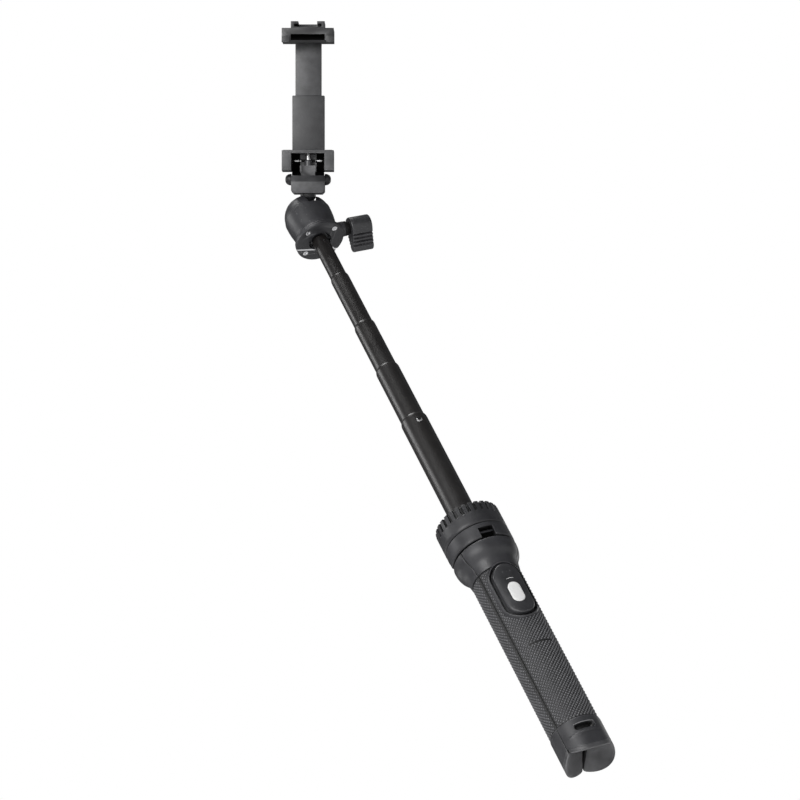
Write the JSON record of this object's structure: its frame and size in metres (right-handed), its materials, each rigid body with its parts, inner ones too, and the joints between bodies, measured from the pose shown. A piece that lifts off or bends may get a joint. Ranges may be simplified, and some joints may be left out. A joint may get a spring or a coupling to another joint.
{
  "type": "selfie stick",
  "caption": "Extending handheld pole whose grip splits into a folding tripod, with a clip-on shutter remote, a lockable ball head and a sprung phone clamp.",
  "frame": {"origin": "centre of the handle's foot plane on the pole axis, legs closed", "axes": "+Z along the pole towards the head; -Y the leg that carries the remote; +X the axis of the ball lock lever"},
  "size_m": [0.0666, 0.1186, 0.5748],
  "materials": {
    "shell_plastic": "charcoal moulded plastic, fine satin grain",
    "grip_rubber": "charcoal rubber with a diamond knurl",
    "foot_rubber": "smooth dark grey rubber",
    "ring_plastic": "charcoal moulded plastic with knurl slots",
    "inner_plastic": "plain black moulded plastic",
    "tube_black": "black satin coated tube with a long highlight",
    "bush_plastic": "natural acetal",
    "chrome_steel": "bright plated steel",
    "dark_steel": "plain steel",
    "button_silver": "light silver grey",
    "remote_plastic": "charcoal moulded plastic, finer than the grip",
    "lamp_clear": "smoked clear plastic",
    "circuit_green": "green circuit board",
    "ball_black": "black coated steel ball and stem",
    "pad_rubber": "soft black rubber",
    "spring_steel": "spring wire",
    "clamp_plastic": "charcoal glass-filled plastic"
  },
  "bodies": {
    "hub": {"hub_body": "shell_plastic", "hub_sleeve": "inner_plastic", "leg_pins": "dark_steel", "ring_clip": "inner_plastic"},
    "lock_ring": {"lock_ring": "ring_plastic"},
    "leg_front": {"leg_front_shell": "shell_plastic", "leg_front_cover": "inner_plastic", "leg_front_grip": "grip_rubber", "leg_front_foot": "foot_rubber"},
    "leg_right": {"leg_right_shell": "shell_plastic", "leg_right_cover": "inner_plastic", "leg_right_grip": "grip_rubber", "leg_right_foot": "foot_rubber"},
    "leg_left": {"leg_left_shell": "shell_plastic", "leg_left_cover": "inner_plastic", "leg_left_grip": "grip_rubber", "leg_left_foot": "foot_rubber"},
    "remote": {"remote_case": "remote_plastic", "remote_back": "remote_plastic", "remote_board": "circuit_green", "remote_cell": "dark_steel", "remote_lamps": "lamp_clear"},
    "button": {"shutter_button": "button_silver"},
    "tube_1": {"tube_1": "tube_black", "tube_screw": "chrome_steel"},
    "tube_2": {"tube_2": "tube_black", "bush_2": "bush_plastic"},
    "tube_3": {"tube_3": "tube_black", "bush_3": "bush_plastic"},
    "tube_4": {"tube_4": "tube_black", "bush_4": "bush_plastic"},
    "tube_5": {"tube_5": "tube_black", "bush_5": "bush_plastic", "tip_plug": "inner_plastic", "pan_screw": "dark_steel"},
    "head": {"head_housing": "shell_plastic", "ball_cap": "shell_plastic", "ball_seat": "bush_plastic", "pressure_pad": "inner_plastic", "base_plate_large": "shell_plastic", "base_plate_small": "shell_plastic", "slot_plate": "chrome_steel", "base_screws": "chrome_steel"},
    "lever": {"lock_lever": "clamp_plastic", "lever_screw": "dark_steel", "lever_collar": "inner_plastic"},
    "stud": {"ball_stud": "ball_black"},
    "clamp_base": {"clamp_block": "clamp_plastic", "pivot_bolt": "ball_black", "pivot_nut": "ball_black"},
    "clamp": {"lower_jaw": "clamp_plastic", "lower_pad": "pad_rubber", "centre_rod": "chrome_steel", "cross_pin": "chrome_steel", "lower_spine": "clamp_plastic", "clamp_springs": "spring_steel"},
    "jaw": {"upper_jaw": "clamp_plastic", "upper_pad": "pad_rubber", "upper_spine": "clamp_plastic", "cold_shoe": "clamp_plastic"}
  },
  "joints": [
    {"name": "lock_ring_turn", "type": "hinge", "parent": "hub", "child": "lock_ring", "pos_m": [0, 0, 0.18], "axis": [0, 0, 1], "range_deg": [0, 45]},
    {"name": "leg_front_open", "type": "hinge", "parent": "hub", "child": "leg_front", "pos_m": [0, -0.0182, 0.166], "axis": [-1, 0, 0], "range_deg": [0, 32]},
    {"name": "leg_right_open", "type": "hinge", "parent": "hub", "child": "leg_right", "pos_m": [0.01576, 0.0091, 0.166], "axis": [0.5, -0.866, 0], "range_deg": [0, 32]},
    {"name": "leg_left_open", "type": "hinge", "parent": "hub", "child": "leg_left", "pos_m": [-0.01576, 0.0091, 0.166], "axis": [0.5, 0.866, 0], "range_deg": [0, 32]},
    {"name": "remote_lift", "type": "slide", "parent": "leg_front", "child": "remote", "axis": [0, -1, 0], "range_m": [0, 0.02]},
    {"name": "shutter_press", "type": "slide", "parent": "remote", "child": "button", "axis": [0, 1, 0], "range_m": [0, 0.0006]},
    {"name": "tube_1_slide", "type": "slide", "parent": "hub", "child": "tube_1", "axis": [0, 0, 1], "range_m": [-0.079, 0.03]},
    {"name": "tube_2_slide", "type": "slide", "parent": "tube_1", "child": "tube_2", "axis": [0, 0, 1], "range_m": [-0.046, 0.08]},
    {"name": "tube_3_slide", "type": "slide", "parent": "tube_2", "child": "tube_3", "axis": [0, 0, 1], "range_m": [-0.0405, 0.08]},
    {"name": "tube_4_slide", "type": "slide", "parent": "tube_3", "child": "tube_4", "axis": [0, 0, 1], "range_m": [-0.0456, 0.08]},
    {"name": "tube_5_slide", "type": "slide", "parent": "tube_4", "child": "tube_5", "axis": [0, 0, 1], "range_m": [-0.0355, 0.078]},
    {"name": "head_pan", "type": "hinge", "parent": "tube_5", "child": "head", "pos_m": [0, 0, 0.449], "axis": [0, 0, 1], "range_deg": [-180, 180]},
    {"name": "lever_turn", "type": "hinge", "parent": "head", "child": "lever", "pos_m": [0.02, 0, 0.4532], "axis": [1, 0, 0], "range_deg": [-90, 90]},
    {"name": "ball_tilt", "type": "hinge", "parent": "head", "child": "stud", "pos_m": [0, 0, 0.469], "axis": [0.9613, 0.2756, 0], "range_deg": [-72, 24]},
    {"name": "clamp_swivel", "type": "hinge", "parent": "stud", "child": "clamp_base", "pos_m": [0.00347, -0.01211, 0.48186], "axis": [0.1929, -0.6726, 0.7145], "range_deg": [-180, 180]},
    {"name": "clamp_fold", "type": "hinge", "parent": "clamp_base", "child": "clamp", "pos_m": [0.00505, -0.01762, 0.48772], "axis": [0.919, -0.1315, -0.3718], "range_deg": [-48, 24]},
    {"name": "jaw_slide", "type": "slide", "parent": "clamp", "child": "jaw", "axis": [0.1929, -0.6726, 0.7145], "range_m": [-0.019, 0.011], "stiffness_N_per_m": 100, "springref_m": -0.025}
  ]
}
